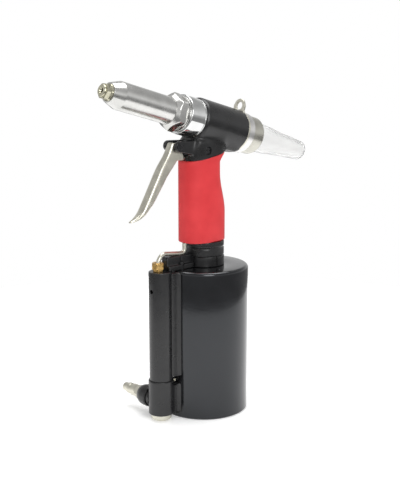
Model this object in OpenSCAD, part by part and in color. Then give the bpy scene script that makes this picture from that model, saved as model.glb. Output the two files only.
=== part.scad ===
// Air-hydraulic rivet gun. Millimetres, +Z up, nose towards -X, tool's left side towards -Y.
// The origin is the centre of the flat base of the air tank.

/* [Air tank] */
// Outside diameter of the tank
tank_d = 85; // [84:0.5:86]
// Height of the tank
tank_h = 143.5; // [142:0.5:145]
// Wall of the tank
tank_wall = 3; // [2.5:0.25:3.5]
// Travel of the air piston and its ram
air_stroke = 80; // [60:5:85]

/* [Head] */
// Angle of the barrel, nose up
nose_up = 15.4; // [12:0.1:18]
// Height of the barrel axis above the tank's centre
axis_h = 279.4; // [278:0.2:281]
// Diameter of the black head
head_d = 40.5; // [40:0.5:42]
// Diameter of the long steel nose housing
nose_d = 25.3; // [24.5:0.1:26]
// Width across the flats of the nose housing's hexagon
hex_af = 31; // [30:0.5:32]
// Diameter of the bore for the rivet's mandrel
mandrel_d = 3.2; // [2:0.1:3.6]
// Travel of the oil piston and the jaws
oil_stroke = 17.5; // [14:0.5:18]

/* [Handle] */
// Depth of the grip sleeve, front to back
grip_depth = 47; // [45:0.5:48]
// Width of the grip sleeve
grip_w = 34; // [32:0.5:36]
// Thickness of the grip sleeve
grip_t = 2.8; // [2:0.2:3.2]
// Diameter of the neck between the grip and the tank
neck_d = 38.8; // [38:0.2:39.6]

/* [Lever] */
// Width of the lever
lever_w = 10.5; // [10:0.5:10.5]
// Sheet thickness of the lever
lever_t = 1.6; // [1.2:0.1:2]

/* [Valve] */
// Distance from the tank's centre to the valve's centre
valve_x = 55.5; // [55.5:0.25:57]
// Diameter of the valve tube
valve_d = 21.8; // [21:0.2:22]
// Diameter of the valve block below it
block_d = 24; // [23.4:0.2:24.6]

/* [Hidden] */
$fn = 96;
eps = 0.01;
fit = 0.05;                 // radial clearance of a running fit
tank_r = tank_d / 2;
bore_r = tank_r - tank_wall;
tank_top = 6;               // thickness of the tank's top wall
head_r = head_d / 2;
nose_r = nose_d / 2;
mandrel_r = mandrel_d / 2;
oil_r = head_r - 3.05;      // bore of the head
neck_r = neck_d / 2;
block_r = block_d / 2;

// stations along the barrel, from its crossing with the tank's centre line, towards the rear
tip_s = -124;
nose_s = -116.2;            // front of the nose housing
cone_s = -105.4;            // end of its cone
hex_s = -47;
hex_end_s = -36.3;
collar_s = -32.6;
head_s = -14.3;
head_end_s = 41.3;
hanger_t = 2.1;
ring_s = head_end_s + hanger_t;
cap_s = 51.2;
cap_end_s = 65.5;
bottle_end_s = 139;

// nose housing and pulling head
jaw_bore_r = 9.3;
rod_r = 8;
tube_r = 6.2;               // rear tube of the oil piston
through_r = 2.9;            // passage for spent mandrels
piston_s = -6;
piston_l = 12;
jaw_end_s = -36;
spigot_s = jaw_end_s + oil_stroke + 2.3;    // room for the jaw case's travel

// handle
grip_z = 167;               // bottom of the grip
grip_top = 248;             // top of the grip at its middle
grip_x = -3;                // middle of the grip
saddle_x = -2;
saddle_z = 249;
grip_tilt = 0.165;          // rise of the grip's top edge towards the rear
waist_z = 231;
waist_r = 30;
waist_cut = 7;
neck_z = 137.4;             // shoulder under the tank's top wall
nut_z = tank_h + 0.1;
nut_h = 10;
ram_r = 7;
ram_l = air_stroke + 44;    // the ram starts just past its seal
ram_bore_r = 7.6;
piston_z = 20;              // underside of the air piston at rest
air_piston_h = 12;

// lever and pilot valve
pivot = [-38, 0, 259];
pin_r = 2;
ear_r = 4.9;
ear_t = 4;
ear_gap = 11.3;
pilot_z = 247.8;
pilot_tip_x = -29.5;

// valve
valve_z = 39.5;             // joint between block and tube
valve_top = tank_h + 1;
valve_bore_r = 8.5;
block_z = 6;
inlet_z = 18.3;
port_z = 14;                // air passage from the block to the tank
exhaust_z = 126.4;
tube_x = -58;               // outlet for the pilot tube
tube_z = 160;
riser_x = -25;              // where the pilot tube goes up into the handle
pipe_r = 2.2;
pipe_bore_r = 1.3;
bend_r = 9;

// ---------- helpers ----------

// children stand on the barrel axis at station s, +Z to the rear, +X downwards
module barrel(s = 0) {
    translate([0, 0, axis_h]) rotate([0, 90 + nose_up, 0]) translate([0, 0, s]) children();
}

// turned part on the barrel axis: pairs of [radius, station]
module turned(outline) {
    barrel() rotate_extrude() polygon(outline);
}

module bar(r, s1, s2) {
    barrel(s1) cylinder(r = r, h = s2 - s1);
}

module ring(r_out, r_in, h) {
    difference() {
        cylinder(r = r_out, h = h);
        translate([0, 0, -eps]) cylinder(r = r_in, h = h + 2 * eps);
    }
}

module o_ring(mean_r, wire_r) {
    rotate_extrude() translate([mean_r, 0]) circle(r = wire_r, $fn = 32);
}

// hexagon with chamfered corners, flats facing +Y and -Y
module hex_bar(af, h) {
    corner = af / sqrt(3);
    intersection() {
        cylinder(r = corner, h = h, $fn = 6);
        union() {
            translate([0, 0, 0.8]) cylinder(r = corner, h = h - 1.6);
            cylinder(r1 = corner - 1, r2 = corner, h = 0.8);
            translate([0, 0, h - 0.8]) cylinder(r1 = corner, r2 = corner - 1, h = 0.8);
        }
    }
}

// rounded rectangle for the handle's sections
module handle_section(depth, width, corner) {
    for (x = [-1, 1], y = [-1, 1])
        translate([x * (depth / 2 - corner), y * (width / 2 - corner)]) circle(r = corner);
    square([depth - 2 * corner, width], center = true);
    square([depth, width - 2 * corner], center = true);
}

// coil spring along +Z from z = 0
module coil(mean_r, wire_r, length, turns) {
    sides = 8;
    per_turn = 16;
    rings = turns * per_turn;
    rise = length - 2 * wire_r;
    points = [for (i = [0:rings], k = [0:sides - 1])
        let (a = 360 * i / per_turn, b = 360 * k / sides, r = mean_r + wire_r * cos(b))
        [r * cos(a), r * sin(a), wire_r + rise * i / rings + wire_r * sin(b)]];
    sides_faces = [for (i = [0:rings - 1], k = [0:sides - 1])
        let (n = (k + 1) % sides)
        [i * sides + k, (i + 1) * sides + k, (i + 1) * sides + n, i * sides + n]];
    start = [for (k = [0:sides - 1]) k];
    end = [for (k = [sides - 1:-1:0]) rings * sides + k];
    polyhedron(points = points, faces = concat(sides_faces, [start], [end]), convexity = 10);
}

// ---------- pulling head ----------

module nosepiece() {
    color("goldenrod") difference() {
        union() {
            turned([[0, tip_s], [4.9, tip_s], [5.5, tip_s + 0.6], [5.5, tip_s + 1.5], [0, tip_s + 1.5]]);
            barrel(tip_s + 1.5) hex_bar(12.6, 5.1);
            bar(7.8, nose_s - 1.2, nose_s);
            bar(5, nose_s - 1.3, nose_s + 7.6);
        }
        bar(mandrel_r, tip_s - 1, nose_s + 10);
        turned([[0, tip_s - eps], [2.5, tip_s - eps], [mandrel_r, tip_s + 1.4], [0, tip_s + 1.4]]);
    }
}

module nose_housing() {
    color("silver") difference() {
        union() {
            turned([[0, nose_s], [8.6, nose_s], [9, nose_s + 0.4], [nose_r, cone_s], [nose_r, hex_s + 1],
                [0, hex_s + 1]]);
            barrel(hex_s) intersection() {
                rotate([0, 0, 30]) cylinder(r = hex_af / sqrt(3), h = hex_end_s - hex_s, $fn = 6);
                cylinder(r1 = nose_r + 0.3, r2 = nose_r + 14, h = 14 / 1.1);
            }
            bar(16.6, hex_end_s - eps, hex_end_s + 1.5);
            bar(15.2, hex_end_s + 1.4, hex_end_s + 2.4);
            bar(16.6, hex_end_s + 2.3, collar_s);
            bar(13 - fit, collar_s - eps, spigot_s);
        }
        bar(5, nose_s - 1, nose_s + 8);
        bar(jaw_bore_r, nose_s + 7.6, spigot_s + 1);
    }
}

module head_collar() {
    color("gainsboro") difference() {
        union() {
            turned([[0, collar_s], [17.6, collar_s], [18.5, collar_s + 0.9], [18.5, head_s - 2.2],
                [17.9, head_s - 1.9], [17.9, head_s - 1.1], [18.5, head_s - 0.8], [18.5, head_s], [0, head_s]]);
            bar(oil_r - fit, head_s - eps, -8);
        }
        bar(13, collar_s - 1, spigot_s + 0.2);
        bar(rod_r + fit, spigot_s - 1, -7);
        bar(10.1, -12.9, -10.5);
    }
}

module collar_seal() {
    color("dimgray") barrel(-11.7) o_ring(9.08, 1);
}

module jaw_case() {
    color("slategray") difference() {
        turned([[0, -106.5], [6.6, -106.5], [9, -102.5], [9, jaw_end_s], [0, jaw_end_s]]);
        turned([[0, -107], [3.1, -107], [3.4, -106], [6.4, -92], [6.4, -42], [rod_r - 1.5, -42],
            [rod_r - 1.5, jaw_end_s + 1], [0, jaw_end_s + 1]]);
    }
}

// one jaw is a third of a cone around the mandrel, with a gap to its neighbours
module jaws() {
    color("darkgray") for (turn = [0, 120, 240]) barrel() rotate([0, 0, turn]) difference() {
        rotate_extrude(angle = 112) polygon([[mandrel_r - 0.1, -104.5], [3.5, -104.5], [6.1, -92.2],
            [6.1, -90], [2.6, -88.4], [mandrel_r - 0.1, -88.4]]);
        for (s = [-103:1.6:-90]) translate([0, 0, s]) ring(mandrel_r + 0.2, mandrel_r - 0.5, 0.8);
    }
}

module jaw_pusher() {
    color("lightslategray") difference() {
        turned([[0, -88], [2.7, -88], [6.2, -85.6], [6.2, -80], [4.2, -80], [4.2, -66], [0, -66]]);
        bar(through_r - 0.4, -89, -65);
    }
}

module jaw_spring() {
    color("silver") barrel(-79.9) coil(5.3, 0.7, 37.8, 9);
}

module oil_piston() {
    end_s = piston_s + piston_l;
    color("lightgray") difference() {
        union() {
            bar(oil_r - 0.08, piston_s, end_s);
            bar(rod_r, jaw_end_s, piston_s + eps);
            bar(rod_r - 1.55, -41.8, jaw_end_s + 0.1);
            bar(tube_r, end_s - eps, 54);
        }
        barrel(piston_s + 4.4) ring(oil_r + 1, oil_r - 2.2, 3.2);
        bar(through_r, -43, 55);
    }
}

module oil_piston_seal() {
    color("black") barrel(piston_s + 4.5) ring(oil_r - 0.06, oil_r - 2.15, 3);
}

module return_spring() {
    color("silver") barrel(piston_s + piston_l + 0.1) coil(11.2, 1.3, 42.2, 7);
}

module rear_ring() {
    color("lightgray") difference() {
        union() {
            turned([[0, ring_s], [19, ring_s], [19.5, ring_s + 0.5], [19.5, cap_s - 0.9], [19, cap_s - 0.4],
                [0, cap_s - 0.4]]);
            bar(oil_r - fit, 37, ring_s + eps);
            bar(12.5, cap_s - 0.5, cap_s + 4);
        }
        bar(14, 36, 48.5);
        bar(tube_r + fit, 48, cap_s + 5);
    }
}

module rear_cap() {
    color("darkkhaki") difference() {
        turned([[0, cap_s], [17.6, cap_s], [18.2, cap_s + 0.6], [18.2, cap_end_s - 1.6],
            [17.2, cap_end_s], [0, cap_end_s]]);
        bar(12.55, cap_s - 1, cap_s + 4.1);
        bar(9, cap_s + 4, cap_s + 5.5);
        bar(14.6, cap_s + 5.4, cap_end_s + 1);
    }
}

module collector_bottle() {
    wall = 1.6;
    mouth_s = cap_s + 5.8;
    color("whitesmoke", 0.6) difference() {
        union() {
            turned([[0, mouth_s], [14.3, mouth_s], [14.3, cap_end_s + 0.2], [15.1, cap_end_s + 0.2],
                [15.1, cap_end_s + 1], [9.9, bottle_end_s - 3], [0, bottle_end_s - 3]]);
            bar(6.9, bottle_end_s - 4, bottle_end_s);
            barrel(bottle_end_s - 3) o_ring(6.9, 3);
        }
        turned([[0, mouth_s - 1], [14.3 - wall, mouth_s - 1], [14.3 - wall, cap_end_s],
            [9.9 - wall, bottle_end_s - 4], [6, bottle_end_s - wall], [0, bottle_end_s - wall]]);
    }
}

module hanger() {
    eye_h = 24.7;
    color("silver") barrel(head_end_s) difference() {
        union() {
            cylinder(r = head_r - 0.3, h = hanger_t - fit);
            translate([-eye_h, 0, 0]) cylinder(r = 6.8, h = hanger_t - fit);
            translate([-eye_h, -6.8, 0]) cube([eye_h - 12, 13.6, hanger_t - fit]);
        }
        translate([0, 0, -1]) cylinder(r = oil_r, h = 5);
        translate([-eye_h, 0, -1]) cylinder(r = 3.8, h = 5);
    }
}

module oil_screw() {
    color("silver") translate([-9, -13.2, 254]) rotate([90, 0, 0]) difference() {
        union() {
            cylinder(r = 3.4, h = 2);
            translate([0, 0, -3.4]) cylinder(r = 2, h = 3.5);
        }
        translate([-4, -0.4, 1.1]) cube([8, 0.8, 2]);
    }
}

// ---------- handle ----------

// black casting: head, saddle, fork, core of the handle, neck and the flange inside the tank
module handle_casting() {
    color([0.13, 0.13, 0.14]) difference() {
        union() {
            turned([[0, head_s + 0.4], [18.6, head_s + 0.4], [head_r, head_s + 2.6], [head_r, head_end_s - 0.8],
                [head_r - 0.8, head_end_s], [0, head_end_s]]);
            // saddle
            translate([saddle_x, 0, saddle_z]) linear_extrude(272 - saddle_z) handle_section(36, 27, 11);
            saddle_foot();
            // core of the grip, and the neck
            grip_shape(grip_t + 0.1, 1.5);
            translate([0, 0, nut_z + nut_h]) cylinder(r = neck_r - 0.2, h = grip_z - nut_z - nut_h - 0.1);
            translate([0, 0, neck_z]) cylinder(r = 18, h = 20);
            translate([0, 0, neck_z - 6]) cylinder(r = 31, h = 6);
            fork();
        }
        bar(oil_r, head_s - 1, head_end_s + 1);
        bar(18.6, collar_s - 1, head_s + 0.05);
        translate([0, 0, neck_z - 7]) cylinder(r = ram_bore_r, h = 132);
        translate([0, 0, neck_z - 7]) cylinder(r = 12.05, h = 19.1);
        // cartridge bore of the pilot valve and its air passage down the front of the handle
        translate([-30, 0, pilot_z]) rotate([0, 90, 0]) cylinder(r = 4.25, h = 19.6);
        translate([-22, 0, 150]) cylinder(r = 1.5, h = pilot_z - 150);
        translate([riser_x, 0, 158]) cylinder(r = pipe_r + fit, h = 9);
        // seat and thread of the oil screw
        translate([-9, -13.2, 254]) rotate([90, 0, 0]) cylinder(r = 3.5, h = 8);
        translate([-9, -9.6, 254]) rotate([90, 0, 0]) cylinder(r = 2.02, h = 5);
    }
}

// shoulder of the saddle, as wide as the grip's top
module saddle_foot() {
    intersection() {
        translate([grip_x, 0, 236]) linear_extrude(26)
            handle_section(grip_depth - 4, grip_w - 3, 12);
        rotate([90, 0, 0]) linear_extrude(60, center = true)
            polygon([[-30, grip_top + 0.5 - 30 * grip_tilt], [30, grip_top + 0.5 + 30 * grip_tilt],
                [19, 256], [12, 262], [-20, 262], [-26, 254]]);
    }
    // rib behind it, under the head
    rotate([90, 0, 0]) linear_extrude(21, center = true)
        polygon([[10, grip_top + 0.5 + 10 * grip_tilt], [20.8, grip_top + 0.5 + 20.8 * grip_tilt],
            [26.5, 250.4], [30, 252.5], [24, 262], [10, 262]]);
}

// the grip's outside, smaller all round by inset, and longer by over at each end
module grip_shape(inset, over = 0) {
    back_x = grip_x + grip_depth / 2 - inset;
    low = grip_z - over;
    high = grip_top + 0.4 + over;
    difference() {
        intersection() {
            translate([grip_x, 0, low]) linear_extrude(100)
                handle_section(grip_depth - 2 * inset, grip_w - 2 * inset, 13 - inset);
            rotate([90, 0, 0]) linear_extrude(60, center = true)
                polygon([[-40, low], [40, low], [40, high + 40 * grip_tilt], [-40, high - 40 * grip_tilt]]);
        }
        // waist for the web of the hand
        translate([back_x - waist_cut + waist_r, 0, waist_z]) rotate([90, 0, 0])
            cylinder(r = waist_r, h = 60, center = true);
    }
}

module grip_sleeve() {
    color("crimson") difference() {
        grip_shape(0);
        grip_shape(grip_t, 6);
    }
}

// two ears that hold the lever's pin
module fork() {
    for (side = [-1, 1])
        translate([0, side * (ear_gap + ear_t) / 2, 0]) rotate([90, 0, 0])
            linear_extrude(ear_t, center = true) difference() {
                union() {
                    translate([pivot.x, pivot.z]) circle(r = ear_r);
                    polygon([[pivot.x, pivot.z + ear_r], [-12, 263], [-12, 252], [-24, 251],
                        [pivot.x, pivot.z - ear_r]]);
                }
                translate([pivot.x, pivot.z]) circle(r = pin_r + 0.02);
            }
    translate([-24.3, -(ear_gap + ear_t) / 2, 254]) cube([10, ear_gap + ear_t, 8.4]);
}

// ---------- lever ----------

// side outline about the pivot, the pocket's is the same one moved back by the sheet's thickness
front_edge = [[-5.2, 3.4], [-10.5, -7], [-18.5, -18], [-25, -29], [-30.5, -38.5], [-36, -48], [-41.5, -56.5],
    [-47.5, -61.5], [-53, -64.2]];
rear_edge = [[-52.4, -65.6], [-45.6, -63.4], [-38.6, -59.3], [-33.5, -54.4], [-28, -48.5], [-18.3, -35.2],
    [-12.3, -26.6], [-5, -18.6], [0, -13], [8.2, -13], [8.2, -9.5], [4.4, 1.5], [1.5, 3.4]];

module lever() {
    reach = 40;
    back = [for (p = front_edge) [p.x + lever_t * 1.25, p.y]];
    last = len(back) - 1;
    color("gainsboro") translate(pivot) rotate([90, 0, 0]) difference() {
        linear_extrude(lever_w, center = true) polygon(concat(front_edge, rear_edge));
        linear_extrude(lever_w - 2 * lever_t, center = true)
            polygon(concat([[back[0].x + 2, 20]], back,
                [[back[last].x, back[last].y - 9], [reach, back[last].y - 9], [reach, 20]]));
        cylinder(r = pin_r + fit, h = 30, center = true);
    }
    // folded heel that works the pilot valve
    color("gainsboro") translate([pivot.x + 8.2 - lever_t, -lever_w / 2 + lever_t - eps, pivot.z - 13])
        cube([lever_t, lever_w - 2 * lever_t + 2 * eps, 3.5]);
}

module lever_pin() {
    color("silver") translate(pivot) rotate([90, 0, 0]) difference() {
        cylinder(r = pin_r, h = 21.4, center = true);
        for (side = [-1, 1]) translate([0, 0, side * 10.05 - 0.35]) ring(pin_r + 1, pin_r - 0.5, 0.7);
    }
}

module lever_clips() {
    color("darkslategray") for (side = [-1, 1])
        translate([pivot.x, side * 10.05, pivot.z]) rotate([90, 0, 0]) translate([0, 0, -0.3]) difference() {
            ring(3.6, pin_r - 0.5, 0.6);
            translate([0, -1, -1]) cube([5, 2, 3]);
        }
}

module pilot_sleeve() {
    color("goldenrod") translate([pilot_tip_x + 6, 0, pilot_z]) rotate([0, 90, 0]) difference() {
        union() {
            ring(4.2, 2.05, 1.8);
            ring(4.2, 3.1, 12.8);
        }
        translate([0, 0, 7.8]) rotate([0, 90, 0]) cylinder(r = 1.2, h = 12, center = true);
    }
}

module pilot_plunger() {
    color("lightgray") translate([pilot_tip_x, 0, pilot_z]) rotate([0, 90, 0]) union() {
        rotate_extrude() polygon([[0, 0], [1.2, 0], [2, 0.8], [2, 12], [0, 12]]);
        translate([0, 0, 7.9]) cylinder(r = 3.04, h = 1.6);
    }
}

module pilot_spring() {
    color("silver") translate([pilot_tip_x + 9.55, 0, pilot_z]) rotate([0, 90, 0]) coil(2.6, 0.3, 9.3, 7);
}

// ---------- neck and air tank ----------

module neck_nut() {
    slots = 6;
    color([0.16, 0.16, 0.17]) translate([0, 0, nut_z]) difference() {
        rotate_extrude() polygon([[18.1, 0], [neck_r - 0.6, 0], [neck_r, 0.6], [neck_r, nut_h - 0.9],
            [neck_r - 0.7, nut_h - 0.2], [18.1, nut_h - 0.2]]);
        for (i = [0:slots - 1]) rotate([0, 0, 20 + i * 360 / slots])
            translate([neck_r - 1, -2.8, 1.2]) cube([5, 5.6, nut_h]);
    }
}

module ram_gland() {
    color("peru") translate([0, 0, neck_z - 6]) difference() {
        ring(12, ram_r + fit, 17.8);
        translate([0, 0, 7]) cylinder(r = 9.2, h = 2.5);
    }
}

module ram_seal() {
    color("dimgray") translate([0, 0, neck_z + 2.25]) o_ring(8.13, 1.05);
}

module air_tank() {
    edge = 3;
    color([0.07, 0.07, 0.08]) difference() {
        union() {
            translate([0, 0, 1]) cylinder(r = tank_r, h = tank_h - edge - 1);
            cylinder(r1 = tank_r - 1, r2 = tank_r, h = 1);
            translate([0, 0, tank_h - 2 * edge]) cylinder(r = tank_r - edge, h = 2 * edge);
            translate([0, 0, tank_h - edge]) o_ring(tank_r - edge, edge);
        }
        translate([0, 0, -1]) cylinder(r = bore_r, h = tank_h - tank_top + 1);
        translate([0, 0, tank_h - 10]) cylinder(r = 18.1, h = 20);
        translate([-tank_r - 2, 0, port_z]) rotate([0, 90, 0]) cylinder(r = 2.6, h = 8);
        // screws of the valve bracket
        for (y = [-5, 5]) translate([-33, y, tank_h - 8]) cylinder(r = 1.6, h = 10);
    }
}

module tank_base() {
    color([0.1, 0.1, 0.11]) difference() {
        union() {
            cylinder(r = bore_r - fit, h = 8);
            translate([0, 0, 8 - eps]) ring(17.9, 14, 3);
        }
        for (side = [-1, 1]) translate([side * 22, 0, -1]) cylinder(r = 2.5, h = 5);
    }
}

module piston_bumper() {
    color("dimgray") translate([0, 0, 8.02]) ring(24, 18, piston_z - 8.1);
}

module air_piston() {
    color("lightgray") translate([0, 0, piston_z]) difference() {
        ring(bore_r - 0.1, ram_r - 1.98, air_piston_h);
        translate([0, 0, 3.9]) ring(bore_r + 1, bore_r - 3.2, 4.2);
        translate([0, 0, -1]) ring(32, 26, 5);
        translate([0, 0, air_piston_h - 4]) ring(32, 15, 5);
    }
}

module air_piston_seal() {
    color("black") translate([0, 0, piston_z + 4]) ring(bore_r - 0.06, bore_r - 3.1, 4);
}

module ram() {
    color("silver") union() {
        translate([0, 0, piston_z - 4]) cylinder(r = ram_r - 2, h = air_piston_h + 5);
        translate([0, 0, piston_z + air_piston_h]) cylinder(r = ram_r, h = ram_l);
        translate([0, 0, piston_z + air_piston_h + ram_l]) cylinder(r1 = ram_r, r2 = ram_r - 1.5, h = 2);
        translate([0, 0, piston_z - 6.2]) cylinder(r = 8.4, h = 6, $fn = 6);
    }
}

// ---------- valve ----------

module at_valve(z = 0) {
    translate([-valve_x, 0, z]) children();
}

module valve_tube() {
    color([0.09, 0.09, 0.1]) difference() {
        union() {
            at_valve(valve_z + 0.2) cylinder(r = valve_d / 2, h = valve_top - valve_z - 1);
            at_valve(valve_top - 0.8) cylinder(r1 = valve_d / 2, r2 = valve_d / 2 - 0.8, h = 0.8);
            at_valve(30.2) cylinder(r = 10.4, h = 12);
        }
        at_valve(29) cylinder(r = valve_bore_r, h = valve_top - 29 - 6);
        at_valve(exhaust_z) rotate([0, -90, 0]) cylinder(r = 2.1, h = 20);
        translate([tube_x, 0, valve_top - 8]) cylinder(r = 3.5, h = 10);
    }
}

module valve_block() {
    color([0.1, 0.1, 0.11]) difference() {
        union() {
            at_valve(block_z + 1) cylinder(r = block_r, h = valve_z - block_z - 1.6);
            at_valve(block_z) cylinder(r1 = block_r - 1, r2 = block_r, h = 1);
            at_valve(valve_z - 0.6) cylinder(r1 = block_r, r2 = block_r - 0.6, h = 0.6);
            // foot that lies against the tank
            translate([-valve_x, -8, block_z + 1]) cube([valve_x - 40, 16, valve_z - block_z - 2]);
            // boss of the air inlet
            translate([-valve_x, 0, inlet_z]) rotate([-90, 0, 0]) cylinder(r = 8.4, h = 14);
        }
        at_valve(30) cylinder(r = 10.45, h = 12);
        at_valve(0) cylinder(r = 7.5, h = 40);
        cylinder(r = tank_r + 0.05, h = 60);
        translate([-valve_x, 0, port_z]) rotate([0, 90, 0]) cylinder(r = 2.6, h = 20);
        translate([-valve_x, 0, inlet_z]) rotate([-90, 0, 0]) cylinder(r = 5.6, h = 20);
        translate([-46.4, -12, 31]) cube([8, 8.6, 20]);
    }
}

module block_screw() {
    color("silver") translate([-43.95, -3.41, 37.6]) rotate([90, 0, 0]) difference() {
        cylinder(r = 1.5, h = 3.1);
        translate([0, 0, 2]) cylinder(r = 0.9, h = 2, $fn = 6);
    }
}

// arm from the neck nut over the edge of the tank, and the rib down between tank and valve
module valve_bracket() {
    color([0.1, 0.1, 0.11]) difference() {
        union() {
            translate([-50, -6.5, tank_h + 0.05]) cube([32, 13, 5]);
            translate([-50.5, -4, valve_top + 0.1]) cube([32.5, 8, 12.1]);
            translate([-50, -6.5, 118]) cube([6.5, 13, tank_h - 113.05]);
            translate([-50.5, -10.5, valve_z + 2]) cube([10, 21, tank_h - valve_z - 2.5]);
        }
        translate([0, 0, valve_z]) cylinder(r = tank_r + 0.05, h = tank_h - valve_z);
        at_valve(valve_z) cylinder(r = valve_d / 2 + 0.05, h = valve_top - valve_z + 0.05);
        translate([0, 0, tank_h - 1]) cylinder(r = neck_r + 0.1, h = 30);
        translate([-60, 0, tube_z]) rotate([0, 90, 0]) cylinder(r = pipe_r + 0.6, h = 50);
        for (y = [-5, 5]) translate([-33, y, tank_h - 1]) {
            cylinder(r = 1.65, h = 20);
            translate([0, 0, 6.05]) cylinder(r = 2.55, h = 14);
        }
    }
}

module bracket_screws() {
    color("silver") for (y = [-5, 5]) translate([-33, y, tank_h - 5.5]) difference() {
        union() {
            cylinder(r = 1.58, h = 11);
            translate([0, 0, 10.6]) cylinder(r = 2.4, h = 2);
        }
        translate([0, 0, 11.4]) cylinder(r = 1.3, h = 2, $fn = 6);
    }
}

module valve_spool() {
    land_r = valve_bore_r - 0.08;
    color("lightgray") at_valve(52) difference() {
        cylinder(r = land_r, h = 66);
        for (z = [14, 40]) translate([0, 0, z]) ring(land_r + 1, 5, 12);
        for (z = [6, 31, 58]) translate([0, 0, z]) ring(land_r + 1, land_r - 1.7, 1.9);
        translate([0, 0, -1]) cylinder(r = 5.2, h = 11);
    }
}

module spool_seals() {
    color("black") for (z = [6, 31, 58])
        at_valve(52 + z + 0.95) o_ring(valve_bore_r - 0.92, 0.85);
}

module valve_spring() {
    color("silver") at_valve(10.1) coil(4.2, 0.6, 51.8, 9);
}

module valve_plug() {
    color("silver") at_valve(0) difference() {
        union() {
            translate([0, 0, 0.8]) cylinder(r1 = 8.8, r2 = 9.8, h = 1);
            translate([0, 0, 1.8]) cylinder(r = 9.8, h = block_z - 1.85);
            translate([0, 0, block_z - 0.1]) cylinder(r = 7.45, h = 11.4 - block_z);
        }
        translate([0, 0, 0.7]) cylinder(r = 3.5, h = 3.6, $fn = 6);
        translate([0, 0, 10]) cylinder(r = 5, h = 3);
    }
}

// ---------- air inlet ----------

// turned part on the inlet's axis, pairs of [radius, distance from the valve's centre]
module inlet_turned(outline) {
    translate([-valve_x, 0, inlet_z]) rotate([-90, 0, 0]) rotate_extrude() polygon(outline);
}

module inlet_bushing() {
    color([0.08, 0.08, 0.09]) inlet_turned([[5.05, 10], [5.55, 10], [5.55, 14.05], [9.2, 14.05], [10.3, 15.2],
        [10.3, 21], [9.8, 24], [8.6, 26.8], [6.9, 28.6], [5.05, 28.6]]);
}

module air_plug() {
    color("gainsboro") difference() {
        union() {
            inlet_turned([[0, 9], [5, 9], [5, 29], [0, 29]]);
            translate([-valve_x, 28.9, inlet_z]) rotate([-90, 0, 0]) hex_bar(12, 4.6);
            inlet_turned([[0, 33.4], [5.9, 33.4], [5.9, 41], [4.5, 42.2], [4.5, 44.2], [5.3, 45.2], [5.3, 48],
                [4.2, 49], [4.2, 53.4], [3.6, 54], [0, 54]]);
        }
        inlet_turned([[0, 8], [2.6, 8], [2.6, 55], [0, 55]]);
    }
}

// ---------- pilot air line ----------

// line from the handle's front down, forwards and down again into the brass nut
module pilot_line(r) {
    small = 4;
    translate([riser_x, 0, tube_z + small]) cylinder(r = r, h = 2.9);
    translate([riser_x - small, 0, tube_z + small]) rotate([90, 0, 0]) rotate([0, 0, -90])
        rotate_extrude(angle = 90) translate([small, 0]) circle(r = r);
    translate([tube_x + bend_r, 0, tube_z]) rotate([0, 90, 0])
        cylinder(r = r, h = riser_x - small - tube_x - bend_r);
    translate([tube_x + bend_r, 0, tube_z - bend_r]) rotate([90, 0, 0]) rotate([0, 0, 90])
        rotate_extrude(angle = 90) translate([bend_r, 0]) circle(r = r);
    translate([tube_x, 0, valve_top - 3]) cylinder(r = r, h = tube_z - bend_r - valve_top + 3);
}

module pilot_tube() {
    color("lightgray") difference() {
        pilot_line(pipe_r);
        pilot_line(pipe_bore_r);
        translate([tube_x, 0, valve_top - 4]) cylinder(r = pipe_bore_r, h = 3);
        translate([riser_x, 0, tube_z + 6]) cylinder(r = pipe_bore_r, h = 3);
    }
}

module brass_nut() {
    color("goldenrod") translate([tube_x, 0, valve_top + 2.2]) difference() {
        hex_bar(10.6, 6.4);
        translate([0, 0, -1]) cylinder(r = pipe_r + 0.35, h = 10);
        translate([0, 0, -1]) cylinder(r = 3.5, h = 4.8);
    }
}

module brass_fitting() {
    color("goldenrod") translate([tube_x, 0, valve_top]) difference() {
        union() {
            translate([0, 0, 0.05]) cylinder(r = 4.8, h = 2);
            translate([0, 0, -6.5]) cylinder(r = 3.45, h = 12.3);
        }
        translate([0, 0, -7]) cylinder(r = pipe_bore_r, h = 5);
        translate([0, 0, -3]) cylinder(r = pipe_r + 0.02, h = 10);
    }
}

nosepiece();
nose_housing();
head_collar();
collar_seal();
jaw_case();
jaws();
jaw_pusher();
jaw_spring();
oil_piston();
oil_piston_seal();
return_spring();
handle_casting();
hanger();
rear_ring();
rear_cap();
collector_bottle();
oil_screw();
lever();
lever_pin();
lever_clips();
pilot_sleeve();
pilot_plunger();
pilot_spring();
grip_sleeve();
neck_nut();
ram_gland();
ram_seal();
air_tank();
tank_base();
piston_bumper();
air_piston();
air_piston_seal();
ram();
valve_tube();
valve_block();
valve_bracket();
bracket_screws();
valve_spool();
spool_seals();
valve_spring();
valve_plug();
block_screw();
inlet_bushing();
air_plug();
pilot_tube();
brass_nut();
brass_fitting();
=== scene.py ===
"""Air-hydraulic rivet gun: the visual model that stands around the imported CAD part."""

import math

import bmesh
import bpy
import numpy as np
from mathutils import Matrix, Vector


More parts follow.
